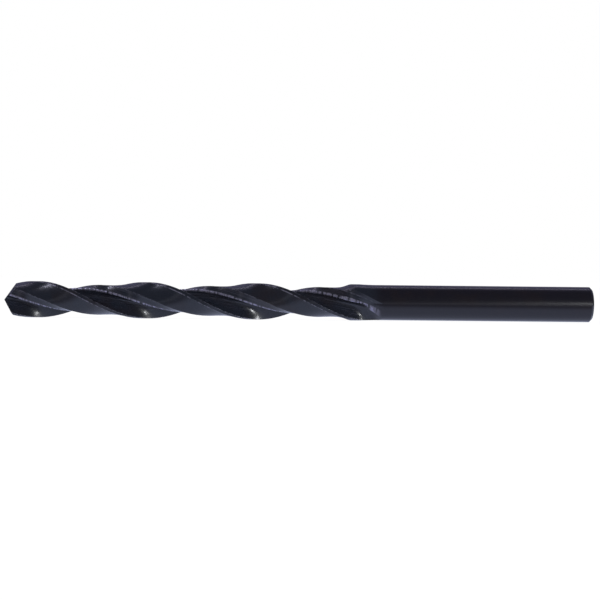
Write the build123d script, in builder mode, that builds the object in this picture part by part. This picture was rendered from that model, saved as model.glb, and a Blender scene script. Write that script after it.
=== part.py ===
from build123d import *
import math
import os

# A right-hand twist drill bit with a straight shank, turned and ground from one bar of high-speed steel.
# It lies along X with its point towards -X. The origin is the centre of the flat end of the shank.
# Lengths are in millimetres and angles in degrees. A station is a distance from the tip of the point.

# Driving dimensions: the blank
overall_length = 100.4        # tip of the point to the end of the shank
body_diameter = 6.2           # across the two margins
shank_diameter = 6.0          # what the chuck holds
shank_chamfer = 0.4           # broken edge round the end of the shank
neck_length = 2.5             # cone that joins the body to the shank

# Driving dimensions: the flutes
flute_length = 64.8           # tip to the far end of the run-out
run_out_length = 6.5          # last stretch, where the floor of the flute climbs to the surface
helix_lead = 37.7             # one full turn of the flutes
top_station = 6.0             # station at which a leading edge is uppermost
flute_angle = 97.5            # opening of a flute, from the leading edge to the heel
web_thickness = 1.16          # core left between the two flutes, at the point
web_taper = 0.009             # growth of that core for each millimetre towards the shank
root_angle = 42.0             # deepest place of the flute, ahead of the leading edge
ridge_radius = 2.0            # distance from the axis of the ridge along the flute
ridge_angle = 62.0            # its angle ahead of the leading edge
rake_hook = 0.26              # how far the pull on the rake face lies behind its radial line
rake_reach = 0.39             # and how far past the axis

# Driving dimensions: the lands
margin_width = 0.65           # full-diameter strip behind each leading edge
land_relief = 0.515           # how far the rest of the land lies below the margins
land_fullness = 1.155         # pull on the relief above the heel, in radii of the heel
land_lean = 5.0               # angle of that pull past the heel
relief_slope = 23.0           # angle at which the relief meets the back of the margin
relief_pull = 1.18            # length over which the relief holds that slope
relief_fade = 3.5             # length over which the relief fades out
relief_short = 4.2            # the relief ends this far short of the flutes

# Driving dimensions: the point
point_angle = 118.0           # between the two lips
grinding_half_angle = 30.0    # half angle of the cone that each flank is part of
grinding_reach = 8.0          # apex of that cone to the axis, along the lip
grinding_skew = 1.8           # how far ahead of the axis that cone is set
lip_lag = 9.3                 # how far the lip's line lies behind its outer corner, seen on the end

# Working allowances
station_step = 1.62           # most between two cross-sections of a cutter
overrun = 1.5                 # how far the cutters start ahead of the tip
clear = 0.4                   # how far the cutters stand outside the blank
waste_depth = 5.0             # how far behind the tip the grinding of the flanks can reach
flute_corners = (70.0, 20.0)  # angles of the far corners of a flute cutter
relief_corner = 130.0         # angle of the far corner of a relief cutter
relief_overlap = 20.0         # how far back into the flute a relief cutter reaches
relief_way_out = 125.0        # way in which the relief cutter leaves

body_radius = body_diameter / 2
shank_radius = shank_diameter / 2
land_radius = body_radius - land_relief
margin_back = 180 - math.degrees(margin_width / body_radius)
half_point = math.radians(point_angle / 2)
corner_station = body_radius / math.tan(half_point)
relief_end = flute_length - relief_short
run_out_start = flute_length - run_out_length


def polar(radius, angle):
    """Point of a cross-section, at an angle ahead of the leading edge."""
    return Vector(radius * math.cos(math.radians(angle)), radius * math.sin(math.radians(angle)))


def cross_section(station, ahead=0):
    """Plane across the drill: its x points at the leading edge, its y the way the edge cuts."""
    turn = math.radians(90 + 360 * (station - top_station) / helix_lead - ahead)
    return Plane(
        origin=(station - overall_length, 0, 0),
        x_dir=(0, math.cos(turn), math.sin(turn)),
        z_dir=(-1, 0, 0),
    )


def stations(first, last):
    """Evenly spaced stations, from the first to the last one."""
    count = math.ceil((last - first) / station_step)
    return [first + (last - first) * i / count for i in range(count + 1)]


def climb(station, end, length):
    """0 until the last stretch before the end and 1 at the end, steeper all the way."""
    along = max(station - end + length, 0) / length
    return along**2


def flute_outline(station):
    """One flute across the drill: rake face, root and ridge in one curve, then the flat heel side."""
    core = (web_thickness + web_taper * max(station, 0)) / 2
    rake_start = Vector(body_radius + clear, 0)
    ridge = polar(ridge_radius, ridge_angle)
    root = polar(core, root_angle)
    rake_pull = Vector(-rake_reach, -rake_hook)
    wall_pull = (root * 8 - rake_start - ridge) / 3 - rake_pull
    deep = [rake_start, rake_pull, wall_pull, ridge]

    # At the end of the run-out the curve hugs the surface of the blank, up to the top of the heel side.
    heel_side = (polar(land_radius, flute_angle) - ridge).normalized()
    outward = ridge.dot(heel_side)
    heel_top = ridge + heel_side * (math.sqrt(outward**2 + body_radius**2 - ridge_radius**2) - outward)
    hug = body_radius * 4 / 3 * math.tan(math.atan2(heel_top.Y, heel_top.X) / 4)
    heel_pull = heel_top + Vector(heel_top.Y, -heel_top.X).normalized() * hug
    shallow = [rake_start, rake_start + Vector(0, hug), heel_pull, heel_top]

    lift = climb(station, flute_length, run_out_length)
    poles = [low + (high - low) * lift for low, high in zip(deep, shallow)]
    Bezier(*poles)
    Polyline(
        poles[-1],
        heel_top + heel_side * body_radius,
        *[polar(body_diameter, angle) for angle in flute_corners],
        poles[0],
    )


def relief_outline(station):
    """The cut behind one margin: a curve that climbs from the heel to the back of the margin."""
    shift = polar(land_relief + clear, relief_way_out) * climb(station, relief_end, relief_fade)
    back = polar(body_radius, margin_back)
    ramp = polar(1, margin_back + 90 - relief_slope)
    start = polar(land_radius, flute_angle - relief_overlap)
    Bezier(
        shift + start,
        shift + polar(land_radius * land_fullness, flute_angle + land_lean),
        shift + back - ramp * relief_pull,
        shift + back + ramp * clear,
    )
    Polyline(
        shift + back + ramp * clear,
        polar(body_diameter, margin_back),
        polar(body_diameter, relief_corner),
        polar(body_diameter, flute_angle),
        shift + start,
    )


with BuildPart() as flute_cutter:
    for station in stations(-overrun, run_out_start):
        with BuildSketch(cross_section(station)):
            with BuildLine():
                flute_outline(station)
            make_face()
    loft()

with BuildPart() as run_out_cutter:
    for station in stations(run_out_start, flute_length):
        with BuildSketch(cross_section(station)):
            with BuildLine():
                flute_outline(station)
            make_face()
    loft()

with BuildPart() as relief_cutter:
    for station in stations(-overrun, relief_end):
        with BuildSketch(cross_section(station)):
            with BuildLine():
                relief_outline(station)
            make_face()
    loft()

# The cone that one flank is part of. Its nearest edge lies along the lip, and its axis leans off it.
lip_plane = cross_section(corner_station, -lip_lag)
lean = half_point - math.radians(grinding_half_angle)
grinding_plane = Plane(
    origin=lip_plane.from_local_coords(
        Vector(
            -grinding_reach * math.sin(half_point),
            grinding_skew,
            corner_station + grinding_reach * math.cos(half_point),
        )
    ),
    z_dir=lip_plane.z_dir * math.cos(lean) - lip_plane.x_dir * math.sin(lean),
)
grinding_length = 3 * grinding_reach

with BuildPart(grinding_plane) as grinding_cone:
    Cone(
        bottom_radius=grinding_length * math.tan(math.radians(grinding_half_angle)),
        top_radius=0,
        height=grinding_length,
        align=(Align.CENTER, Align.CENTER, Align.MAX),
    )

tip_reached = grinding_cone.part.find_intersection_points(Axis.X)[0][0].X

with BuildPart() as flank_waste:
    with Locations(Plane.YZ.offset(-overall_length - overrun)):
        Cylinder(
            radius=body_radius + clear,
            height=overrun + waste_depth,
            align=(Align.CENTER, Align.CENTER, Align.MIN),
        )
    add(grinding_cone.part.moved(Location((-overall_length - tip_reached, 0, 0))), mode=Mode.SUBTRACT)

with BuildPart() as drill_bit:
    with BuildSketch(Plane.XZ):
        with BuildLine():
            Polyline(
                (-overall_length - clear, 0),
                (-overall_length - clear, body_radius),
                (relief_end - overall_length, body_radius),
                (relief_end + neck_length - overall_length, shank_radius),
                (-shank_chamfer, shank_radius),
                (0, shank_radius - shank_chamfer),
                (0, 0),
                close=True,
            )
        make_face()
    revolve(axis=Axis.X)
    for half_turn in (0, 180):
        add(flute_cutter.part, rotation=(half_turn, 0, 0), mode=Mode.SUBTRACT)
        add(run_out_cutter.part, rotation=(half_turn, 0, 0), mode=Mode.SUBTRACT)
        add(relief_cutter.part, rotation=(half_turn, 0, 0), mode=Mode.SUBTRACT)
        add(flank_waste.part, rotation=(half_turn, 0, 0), mode=Mode.SUBTRACT)

drill_bit.part.label = "drill_bit"
os.makedirs("parts", exist_ok=True)
export_step(drill_bit.part, "parts/drill_bit.step")
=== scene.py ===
"""A twist drill bit of black-oxide steel: its finished body, its finish, and the stage it lies on."""

import math

import bpy
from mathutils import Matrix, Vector


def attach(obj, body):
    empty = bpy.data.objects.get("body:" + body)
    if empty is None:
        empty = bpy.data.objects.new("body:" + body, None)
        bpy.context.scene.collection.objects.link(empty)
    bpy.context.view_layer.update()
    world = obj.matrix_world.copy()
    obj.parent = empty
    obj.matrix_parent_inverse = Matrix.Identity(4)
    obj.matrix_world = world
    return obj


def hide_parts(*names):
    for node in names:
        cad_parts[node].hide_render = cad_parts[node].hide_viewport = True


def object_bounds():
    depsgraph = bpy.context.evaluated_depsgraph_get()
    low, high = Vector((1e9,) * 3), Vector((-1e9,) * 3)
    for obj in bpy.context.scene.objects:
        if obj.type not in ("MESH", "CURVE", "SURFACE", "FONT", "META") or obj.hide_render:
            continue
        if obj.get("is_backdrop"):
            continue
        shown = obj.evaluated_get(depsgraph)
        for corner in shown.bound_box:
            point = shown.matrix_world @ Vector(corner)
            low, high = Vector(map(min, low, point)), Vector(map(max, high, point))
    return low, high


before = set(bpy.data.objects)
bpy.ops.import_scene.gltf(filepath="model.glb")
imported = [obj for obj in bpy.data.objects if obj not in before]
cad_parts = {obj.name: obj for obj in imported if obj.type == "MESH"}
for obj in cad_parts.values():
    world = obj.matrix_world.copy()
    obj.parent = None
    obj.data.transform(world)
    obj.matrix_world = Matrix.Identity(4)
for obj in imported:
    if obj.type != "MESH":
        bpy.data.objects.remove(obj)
cad_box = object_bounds()

bl_info = {
    "name": "Twist Drill Bit",
    "version": (1, 0, 0),
    "blender": (4, 5, 0),
    "location": "3D View > Sidebar > Drill Bit",
    "description": "Finishes a twist drill bit and sets its stage",
    "category": "Object",
}

MM = 0.001  # a millimetre, in metres
IN_MM = 1 / MM  # turns metres into millimetres

NODE = "drill_bit"
TIP_X = cad_box[0].x
MERGE_DISTANCE = 0.0005 * MM
SMOOTH_ANGLE = math.radians(18)

# The section of the fluted body: millimetres from the axis, and degrees ahead of a leading edge.
BODY_RADIUS = (cad_box[1].z - cad_box[0].z) / 2 * IN_MM
HALF_TURN = 180.0
RIDGE_RADIUS = 2.0
RIDGE_AHEAD = 62.0
HEEL_RADIUS = 2.585
HEEL_AHEAD = 97.5
MARGIN_BACK_AHEAD = 167.3

# The last millimetres of the flutes, over which their finish gives way to that of the shank, and
# the stations, in millimetres from the tip, between which the worn ridge widens into a patch that
# is partly wear and partly a painted highlight.
FLUTE_FADE = 2.5
RIDGE_WEAR_AND_HIGHLIGHT_WIDENS = (56.0, 59.0)

# How fast the marks of the wheel vary. In a flute: per degree round, per millimetre outwards and
# per millimetre along. On the shank: per millimetre along and per degree round.
FLUTE_MARKS = (0.055, 1.1, 0.035)
SHANK_MARKS = (2.6, 0.004)

# How fast the wear breaks off along an edge, where along the ridge and the margin backs it is partly
# a painted highlight: per degree round and per millimetre along.
WEAR_AND_HIGHLIGHT_BREAKS = (0.01, 1.1)

# How far each edge is rubbed, where the ridge is 1. Along the ridge and the back of each margin the
# rubbed band is partly a painted highlight.
HEEL_WEAR = 0.12
LIP_WEAR = 0.3
MARGIN_WEAR_AND_HIGHLIGHT = 0.4

# How far worn steel shows through the marks and through the wear, and how metallic the wear is.
# Along the ridge and the margin backs the wear is partly a painted highlight.
MARKS_SHOW = 0.06
WEAR_AND_HIGHLIGHT_SHOWS = 0.9
WEAR_AND_HIGHLIGHT_METALLIC = 0.85

# What each thing adds to the roughness of the skin or takes from it.
MARKS_ROUGHEN = 0.12
GRAIN_ROUGHENS = 0.05
WEAR_AND_HIGHLIGHT_ROUGHENS = 0.10
FLUTE_SMOOTHS = 0.03

# How strongly the marks and the grain stand out of the surface.
RELIEF_STRENGTH = 0.06
MARKS_RELIEF = 0.6
GRAIN_RELIEF = 0.25

# Where the room changes, as the backward or upward part of a direction of length 1: it turns pale
# from the first to the second of each pair, and its low wall fades out over the last pair.
PALE_BACK = (0.0, 0.7)
PALE_UP = (0.0, 0.6)
LOW_WALL = (0.06, 0.02)

# Places in metres from the middle of the drill bit, sizes in metres and powers in watts.
LAMPS = {
    "upper_lamp": {
        "place": (0.0, 0.14, 0.26),
        "size": (0.30, 0.012),
        "power": 0.05,
        "tint": (0.86, 0.80, 1.0),
    },
    "left_window": {
        "place": (-0.27, -0.17, 0.22),
        "size": (0.010, 0.34),
        "power": 0.5,
        "tint": (0.80, 0.80, 1.0),
    },
    "near_pane": {
        "place": (0.165, -0.31, 0.036),
        "size": (0.008, 0.025),
        "power": 0.18,
        "tint": (0.96, 0.98, 1.0),
    },
    "far_pane": {
        "place": (0.30, -0.25, 0.030),
        "size": (0.010, 0.035),
        "power": 0.40,
        "tint": (0.96, 0.98, 1.0),
    },
}

SENSOR_WIDTH = 36  # millimetres
CLIP_START = 10 * MM


# ---------------------------------------------------------------- shader maths


class Sock:
    """A shader socket that can be used in Python expressions."""

    def __init__(self, graph, socket):
        self.graph = graph
        self.socket = socket

    def _math(self, operation, *values, clamped=False):
        settings = {"operation": operation, "use_clamp": clamped}
        return self.graph.node("ShaderNodeMath", *values, settings=settings)["Value"]

    def __add__(self, other):
        return self._math("ADD", self, other)

    def __radd__(self, other):
        return self._math("ADD", other, self)

    def __sub__(self, other):
        return self._math("SUBTRACT", self, other)

    def __rsub__(self, other):
        return self._math("SUBTRACT", other, self)

    def __mul__(self, other):
        return self._math("MULTIPLY", self, other)

    def __rmul__(self, other):
        return self._math("MULTIPLY", other, self)

    def __abs__(self):
        return self._math("ABSOLUTE", self)

    def root(self):
        """The square root."""
        return self._math("SQRT", self)

    def angle(self, across):
        """The direction, in degrees, of the point this far up and the other value across."""
        return self._math("ARCTAN2", self, across) * math.degrees(1)

    def wrap(self, high):
        """The value folded into the range from 0 to high."""
        return self._math("WRAP", self, high, 0.0)

    def clamp(self):
        """The value kept between 0 and 1."""
        return self._math("ADD", self, 0.0, clamped=True)


class Graph:
    """The node tree of one material or world."""

    def __init__(self, owner):
        owner.use_nodes = True
        self.tree = owner.node_tree
        self.tree.nodes.clear()

    def node(self, kind, *values, settings=None, **named):
        """Adds a node, makes its settings, fills its inputs and returns its outputs.

        Inputs are filled in order and by identifier, with an underscore for each blank.
        """
        made = self.tree.nodes.new(kind)
        for name, value in (settings or {}).items():
            setattr(made, name, value)
        by_name = {socket.identifier.replace(" ", "_"): socket for socket in made.inputs}
        filled = list(zip(made.inputs, values))
        filled += [(by_name[name], value) for name, value in named.items()]
        for socket, value in filled:
            if isinstance(value, Sock):
                self.tree.links.new(value.socket, socket)
            else:
                socket.default_value = value
        return {output.identifier: Sock(self, output) for output in made.outputs}

    def mix(self, factor, low, high):
        """Mixes two colours."""
        return self.node(
            "ShaderNodeMix",
            settings={"data_type": "RGBA"},
            Factor_Float=factor,
            A_Color=low,
            B_Color=high,
        )["Result_Color"]

    def blend(self, factor, first, second):
        """Mixes two shaders."""
        return self.node("ShaderNodeMixShader", factor, first, second)["Shader"]

    def step(self, value, low, high):
        """Climbs smoothly from 0 at low to 1 at high."""
        return self.node(
            "ShaderNodeMapRange",
            value,
            low,
            high,
            0.0,
            1.0,
            settings={"interpolation_type": "SMOOTHSTEP"},
        )["Result"]

    def band(self, value, centre, half_width, soft):
        """1 within a band round the centre, and 0 past its soft edges."""
        return self.step(abs(value - centre), half_width + soft, half_width)

    def vector(self, x, y, z):
        """A vector made of three values."""
        return self.node("ShaderNodeCombineXYZ", x, y, z)["Vector"]

    def parts(self, vector):
        """The three values that a vector is made of."""
        made = self.node("ShaderNodeSeparateXYZ", vector)
        return made["X"], made["Y"], made["Z"]

    def place(self, kind="Object"):
        """Where the shaded point lies, in the coordinates of that kind."""
        return self.node("ShaderNodeTexCoord")[kind]

    def noise(self, vector, scale, detail, roughness):
        """A noise between 0 and 1."""
        return self.node(
            "ShaderNodeTexNoise", Vector=vector, Scale=scale, Detail=detail, Roughness=roughness
        )["Fac"]


# ---------------------------------------------------------------- settings


def colour(name, description, default):
    """A colour that a user can change."""
    return bpy.props.FloatVectorProperty(
        name=name, description=description, default=default, subtype="COLOR", size=3, min=0, max=1
    )


def length(name, description, default):
    """A length that a user can change."""
    return bpy.props.FloatProperty(name=name, description=description, default=default, unit="LENGTH")


def share(name, description, default):
    """A number from 0 to 1 that a user can change."""
    return bpy.props.FloatProperty(
        name=name, description=description, default=default, subtype="FACTOR", min=0, max=1
    )


class BitSettings(bpy.types.PropertyGroup):
    """Sizes and finish of the drill bit."""

    helix_lead: length("Helix lead", "Length of one turn of the flutes", 37.7 * MM)
    top_station: length(
        "Top station", "Distance from the tip at which a leading edge is uppermost", 6.0 * MM
    )
    flute_end: length("Flute end", "Distance from the tip to the end of the flutes", 64.8 * MM)
    edge_round: length("Edge rounding", "Radius to which the edges are worn", 0.08 * MM)
    ridge_round: length(
        "Ridge rounding", "Radius to which the ridge along each flute is worn", 0.32 * MM
    )
    mark_depth: length("Mark depth", "Depth of the marks of the wheel", 0.02 * MM)
    roughness: share("Roughness", "Roughness of the smoothest skin", 0.15)
    oxide: colour("Oxide", "Blue-black skin of the steel", (0.0065, 0.0060, 0.0095))
    oxide_warm: colour("Warm oxide", "Browner patches of the skin", (0.0105, 0.0072, 0.0080))
    oxide_fluted: colour("Fluted oxide", "Bluer skin of the fluted part", (0.0085, 0.0105, 0.0160))
    # Worn steel in the marks and along the rubbed edges; along the ridges and margin backs it is partly a
    # painted highlight.
    bare_steel_and_highlight: colour("Worn steel", "Steel that shows where the skin is thin", (0.30, 0.29, 0.38))


class StageSettings(bpy.types.PropertyGroup):
    """Floor, room and camera."""

    floor_size: length("Floor size", "Length of each side of the floor", 6.0)
    floor_colour: colour("Floor", "Colour of the floor in lamp light", (0.86, 0.86, 0.87))
    floor_glow: bpy.props.FloatProperty(
        name="Floor glow", description="Brightness of the white that the camera sees", default=1.06
    )
    floor_shading: share("Floor shading", "Share of the lit floor in what the camera sees", 0.12)
    floor_near: colour("Near floor", "Floor nearby, as the metal mirrors it", (0.62, 0.68, 0.94))
    near_reach: length("Near reach", "How far the near floor reaches", 4.5 * MM)
    near_fade: length("Near fade", "Over what length the near floor fades out", 6.5 * MM)
    floor_dim: colour("Dim floor", "Floor past that, as the metal mirrors it", (0.14, 0.14, 0.19))
    dim_reach: length("Dim reach", "How far the dim floor reaches", 22.0 * MM)
    dim_fade: length("Dim fade", "Over what length the dim floor fades out", 20.0 * MM)
    floor_far: colour("Far floor", "Floor past both, as the metal mirrors it", (0.42, 0.42, 0.48))
    room_front: colour("Room", "Room in front, as the metal mirrors it", (0.025, 0.025, 0.035))
    room_back: colour("Room behind", "Room above and behind, as the metal mirrors it", (0.26, 0.25, 0.42))
    room_low: colour("Low wall", "Foot of the walls, as the metal mirrors it", (0.42, 0.43, 0.52))
    room_fill: colour("Room light", "Soft light that the room gives", (0.8, 0.8, 0.82))
    camera_distance: length(
        "Camera distance", "From the camera to the axis of the drill bit", 242.0 * MM
    )
    camera_station: length(
        "Camera station", "Distance from the tip of the place in front of the camera", 50.55 * MM
    )
    camera_height: length(
        "Camera height", "Height of the camera above the axis of the drill bit", 4.0 * MM
    )
    camera_roll: bpy.props.FloatProperty(
        name="Camera roll",
        description="Turn of the camera about its line of view",
        default=0.00995,
        subtype="ANGLE",
    )
    camera_shift: bpy.props.FloatProperty(
        name="Camera shift",
        description="Upward shift of the view, in widths of the image",
        default=0.003,
    )
    lens: bpy.props.FloatProperty(
        name="Lens", description="Focal length in millimetres", default=84.8, unit="CAMERA"
    )


# ---------------------------------------------------------------- the drill bit


def deselect_all():
    """Leaves edit mode and selects nothing."""
    if bpy.context.mode != "OBJECT":
        bpy.ops.object.mode_set(mode="OBJECT")
    bpy.ops.object.select_all(action="DESELECT")


class DrillPoint:
    """The shaded point in the drill bit's own terms, in millimetres and degrees.

    station is its distance from the tip, radius its distance from the axis, around its direction
    across the axis, and ahead its angle ahead of a leading edge. fluted is 1 in the fluted part.
    """

    def __init__(self, graph, settings):
        self.place = graph.place()
        x, y, z = graph.parts(self.place)
        self.station = (x - TIP_X) * IN_MM
        self.radius = (y * y + z * z).root() * IN_MM
        self.around = z.angle(y)
        degrees_along = 360.0 / (settings.helix_lead * IN_MM)
        edge = (self.station - settings.top_station * IN_MM) * degrees_along + 90.0
        self.ahead = (edge - self.around).wrap(HALF_TURN)
        flute_end = settings.flute_end * IN_MM
        self.fluted = graph.step(self.station, flute_end, flute_end - FLUTE_FADE)


def wheel_marks(graph, point):
    """Marks that run along the helix in the flutes, and round the shank."""
    round_step, outward_step, along_step = FLUTE_MARKS
    along_helix = graph.vector(
        point.ahead * round_step, point.radius * outward_step, point.station * along_step
    )
    flute_marks = graph.noise(along_helix, scale=5.0, detail=4.0, roughness=0.6)
    along_step, round_step = SHANK_MARKS
    round_shank = graph.vector(point.station * along_step, point.around * round_step, 0.0)
    shank_marks = graph.noise(round_shank, scale=4.0, detail=3.0, roughness=0.6)
    return flute_marks * point.fluted + shank_marks * (1.0 - point.fluted)


def rubbed_edges_and_painted_highlight(graph, point):
    """How thin the skin is rubbed along the ridge, the heel and the two edges of each margin, partly a
    painted highlight along the ridge and the margin backs.
    """
    # The ridge band is partly wear and partly a painted highlight; near the end of the flutes it widens
    # into a painted highlight patch.
    widening = graph.step(point.station, *RIDGE_WEAR_AND_HIGHLIGHT_WIDENS)
    ridge_wear_and_highlight = graph.band(point.ahead, RIDGE_AHEAD, half_width=widening * 8.0 + 5.0, soft=6.0)
    ridge_wear_and_highlight = ridge_wear_and_highlight * graph.band(
        point.radius, widening * 0.3 + RIDGE_RADIUS, half_width=widening * 0.3 + 0.16, soft=0.22
    )
    heel = graph.band(point.ahead, HEEL_AHEAD, half_width=0.8, soft=1.8)
    heel = heel * graph.band(point.radius, HEEL_RADIUS, half_width=0.06, soft=0.12)
    outermost = graph.step(point.radius, BODY_RADIUS - 0.2, BODY_RADIUS - 0.02)
    lip = graph.step(point.ahead, HALF_TURN - 2.5, HALF_TURN - 0.3) * outermost
    # The back of each margin is partly wear and partly a painted highlight.
    margin_wear_and_highlight = graph.band(point.ahead, MARGIN_BACK_AHEAD, half_width=0.6, soft=1.8) * outermost
    edge_wear_and_highlight = ridge_wear_and_highlight + heel * HEEL_WEAR + lip * LIP_WEAR + margin_wear_and_highlight * MARGIN_WEAR_AND_HIGHLIGHT

    round_step, along_step = WEAR_AND_HIGHLIGHT_BREAKS
    along_edge = graph.vector(point.ahead * round_step, 0.0, point.station * along_step)
    breaks = graph.noise(along_edge, scale=1.6, detail=2.0, roughness=0.6)
    return (edge_wear_and_highlight * point.fluted * graph.step(breaks, 0.38, 0.60)).clamp()


def rounded_edges(graph, point, settings):
    """The direction of the surface, with its edges rounded and the ridges rounded more."""
    near_ridge = graph.band(point.ahead, RIDGE_AHEAD, half_width=8.0, soft=6.0)
    near_ridge = near_ridge * graph.band(point.radius, RIDGE_RADIUS, half_width=0.3, soft=0.2)
    extra = settings.ridge_round - settings.edge_round
    rounding = near_ridge * point.fluted * extra + settings.edge_round
    return graph.node("ShaderNodeBevel", Radius=rounding, settings={"samples": 8})["Normal"]


def black_oxide(settings):
    """Blue-black oxide on ground steel, rubbed thin along the edges of the fluted part, with a painted
    highlight along the ridges and margin backs.
    """
    material = bpy.data.materials.new("black_oxide")
    graph = Graph(material)
    point = DrillPoint(graph, settings)
    marks = wheel_marks(graph, point)
    wear_and_highlight = rubbed_edges_and_painted_highlight(graph, point)
    grain = graph.noise(point.place, scale=5200.0, detail=2.0, roughness=0.6)
    patches = graph.noise(point.place, scale=210.0, detail=3.0, roughness=0.6)
    in_flute = graph.step(point.ahead, HEEL_AHEAD + 2.5, HEEL_AHEAD - 1.5) * point.fluted
    in_flute = in_flute * graph.step(point.radius, BODY_RADIUS - 0.01, BODY_RADIUS - 0.15)

    bare_steel_and_highlight = (*settings.bare_steel_and_highlight, 1)
    skin = graph.mix(point.fluted, (*settings.oxide, 1), (*settings.oxide_fluted, 1))
    skin = graph.mix(graph.step(patches, 0.45, 0.7) * 0.5, skin, (*settings.oxide_warm, 1))
    skin = graph.mix(in_flute * graph.step(marks, 0.45, 0.75) * MARKS_SHOW, skin, bare_steel_and_highlight)
    roughness = marks * MARKS_ROUGHEN + grain * GRAIN_ROUGHENS + wear_and_highlight * WEAR_AND_HIGHLIGHT_ROUGHENS
    roughness = roughness - in_flute * FLUTE_SMOOTHS + settings.roughness
    bump = graph.node(
        "ShaderNodeBump",
        Strength=RELIEF_STRENGTH,
        Distance=settings.mark_depth,
        Height=marks * MARKS_RELIEF + grain * GRAIN_RELIEF,
        Normal=rounded_edges(graph, point, settings),
    )["Normal"]
    surface = graph.node(
        "ShaderNodeBsdfPrincipled",
        # Worn steel along the edges, partly a painted highlight along the ridges and margin backs.
        Base_Color=graph.mix(wear_and_highlight * WEAR_AND_HIGHLIGHT_SHOWS, skin, bare_steel_and_highlight),
        Metallic=wear_and_highlight * WEAR_AND_HIGHLIGHT_METALLIC,
        Roughness=roughness,
        IOR=1.5,
        Normal=bump,
    )["BSDF"]
    graph.node("ShaderNodeOutputMaterial", Surface=surface)
    return material


class DRILL_OT_body(bpy.types.Operator):
    """Gives the drill bit a smoothly shaded body in black oxide"""

    bl_idname = "drill.body"
    bl_label = "Drill bit body"

    def execute(self, context):
        settings = context.scene.drill_bit_settings
        deselect_all()
        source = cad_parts[NODE]
        source.select_set(True)
        context.view_layer.objects.active = source
        bpy.ops.object.duplicate()
        body = context.active_object
        body.name = "drill_body"
        body.data.name = "drill_body"
        bpy.ops.object.mode_set(mode="EDIT")
        bpy.ops.mesh.select_all(action="SELECT")
        bpy.ops.mesh.remove_doubles(threshold=MERGE_DISTANCE)
        bpy.ops.object.mode_set(mode="OBJECT")
        if body.data.has_custom_normals:
            bpy.ops.mesh.customdata_custom_splitnormals_clear()
        bpy.ops.object.shade_smooth_by_angle(angle=SMOOTH_ANGLE)
        body.data.materials.clear()
        body.data.materials.append(black_oxide(settings))
        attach(body, "root")
        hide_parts(NODE)
        return {"FINISHED"}


# ---------------------------------------------------------------- the stage


def glow(graph, tint, strength=1.0):
    """A shader that glows by itself."""
    return graph.node("ShaderNodeEmission", (*tint, 1), strength)["Emission"]


def backdrop(graph, tint):
    """A plain shader for the world."""
    return graph.node("ShaderNodeBackground", (*tint, 1), 1.0)["Background"]


def see_as(graph, lit, seen, *rays):
    """Shows the second shader to the named rays, and the first to the rest."""
    path = graph.node("ShaderNodeLightPath")
    named = path[rays[0]]
    for ray in rays[1:]:
        named = named + path[ray]
    return graph.blend(named.clamp(), lit, seen)


def floor_finish(settings):
    """White to the camera. To the metal that mirrors it pale nearby, then dim, then paler again."""
    material = bpy.data.materials.new("floor")
    graph = Graph(material)
    _, across, _ = graph.parts(graph.place())
    nearby = graph.band(across, 0.0, settings.near_reach, settings.near_fade)
    within = graph.band(across, 0.0, settings.dim_reach, settings.dim_fade)
    mirrored = graph.blend(nearby, glow(graph, settings.floor_dim), glow(graph, settings.floor_near))
    mirrored = graph.blend(1.0 - within, mirrored, glow(graph, settings.floor_far))
    lit = graph.node("ShaderNodeBsdfDiffuse", (*settings.floor_colour, 1))["BSDF"]
    lit = see_as(graph, lit, mirrored, "Is Glossy Ray")
    white = glow(graph, (1, 1, 1), settings.floor_glow)
    shown = see_as(graph, lit, white, "Is Camera Ray", "Is Transmission Ray")
    graph.node("ShaderNodeOutputMaterial", Surface=graph.blend(settings.floor_shading, shown, lit))
    return material


def studio(settings):
    """White to the camera, soft light on the floor, and a dark room to the metal that mirrors it."""
    world = bpy.data.worlds.new("studio")
    graph = Graph(world)
    _, back, up = graph.parts(graph.place("Generated"))
    behind = graph.step(back, *PALE_BACK) * graph.step(up, *PALE_UP)
    room = graph.blend(behind, backdrop(graph, settings.room_front), backdrop(graph, settings.room_back))
    room = graph.blend(graph.step(up, *LOW_WALL), room, backdrop(graph, settings.room_low))
    lit = see_as(graph, room, backdrop(graph, settings.room_fill), "Is Diffuse Ray")
    shown = see_as(graph, lit, backdrop(graph, (1, 1, 1)), "Is Camera Ray", "Is Transmission Ray")
    graph.node("ShaderNodeOutputWorld", Surface=shown)
    return world


def add_floor(settings, place):
    """Adds the floor round a place."""
    bpy.ops.mesh.primitive_plane_add(size=settings.floor_size, location=place)
    floor = bpy.context.active_object
    floor.name = "floor"
    floor.data.materials.append(floor_finish(settings))
    floor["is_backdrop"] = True


def add_lamp(name, target, place, size, power, tint):
    """Adds a rectangular lamp that faces the target."""
    bpy.ops.object.light_add(type="AREA", location=target + Vector(place))
    lamp = bpy.context.active_object
    lamp.name = name
    lamp.rotation_euler = (-Vector(place)).to_track_quat("-Z", "Y").to_euler()
    lamp.data.shape = "RECTANGLE"
    lamp.data.size, lamp.data.size_y = size
    lamp.data.energy = power
    lamp.data.color = tint


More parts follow.
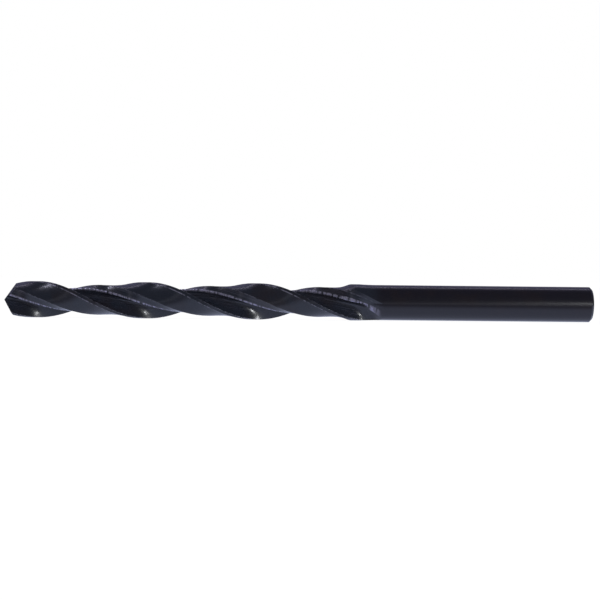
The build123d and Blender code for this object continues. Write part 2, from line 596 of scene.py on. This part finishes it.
def add_camera(settings):
    """Adds a camera that looks across the drill bit from the front."""
    aim = Vector((0, settings.camera_distance, -settings.camera_height))
    target = Vector((TIP_X + settings.camera_station, 0, 0))
    bpy.ops.object.camera_add(location=target - aim)
    camera = bpy.context.active_object
    camera.name = "camera"
    camera.rotation_euler = aim.to_track_quat("-Z", "Y").to_euler()
    camera.rotation_euler.rotate_axis("Z", settings.camera_roll)
    camera.data.lens = settings.lens
    camera.data.sensor_width = SENSOR_WIDTH
    camera.data.shift_y = settings.camera_shift
    camera.data.clip_start = CLIP_START
    return camera


class DRILL_OT_stage(bpy.types.Operator):
    """Sets the floor, the room, the lamps and the camera"""

    bl_idname = "drill.stage"
    bl_label = "Stage"

    def execute(self, context):
        scene = context.scene
        settings = scene.drill_stage_settings
        low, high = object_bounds()
        middle = Vector(((low.x + high.x) / 2, 0, 0))
        deselect_all()
        add_floor(settings, (middle.x, 0, low.z))
        for name, lamp in LAMPS.items():
            add_lamp(name, middle, **lamp)
        scene.world = studio(settings)
        scene.camera = add_camera(settings)
        scene.view_settings.view_transform = "Standard"
        return {"FINISHED"}


class DRILL_PT_panel(bpy.types.Panel):
    """Lists the steps that make the drill bit."""

    bl_idname = "DRILL_PT_panel"
    bl_label = "Drill Bit"
    bl_space_type = "VIEW_3D"
    bl_region_type = "UI"
    bl_category = "Drill Bit"

    def draw(self, context):
        layout = self.layout
        layout.operator(DRILL_OT_body.bl_idname)
        layout.operator(DRILL_OT_stage.bl_idname)


CLASSES = (BitSettings, StageSettings, DRILL_OT_body, DRILL_OT_stage, DRILL_PT_panel)


def register():
    for cls in CLASSES:
        bpy.utils.register_class(cls)
    bpy.types.Scene.drill_bit_settings = bpy.props.PointerProperty(type=BitSettings)
    bpy.types.Scene.drill_stage_settings = bpy.props.PointerProperty(type=StageSettings)


def unregister():
    del bpy.types.Scene.drill_stage_settings
    del bpy.types.Scene.drill_bit_settings
    for cls in reversed(CLASSES):
        bpy.utils.unregister_class(cls)


def main():
    register()
    bpy.ops.drill.body()
    bpy.ops.drill.stage()


if __name__ == "__main__":
    main()
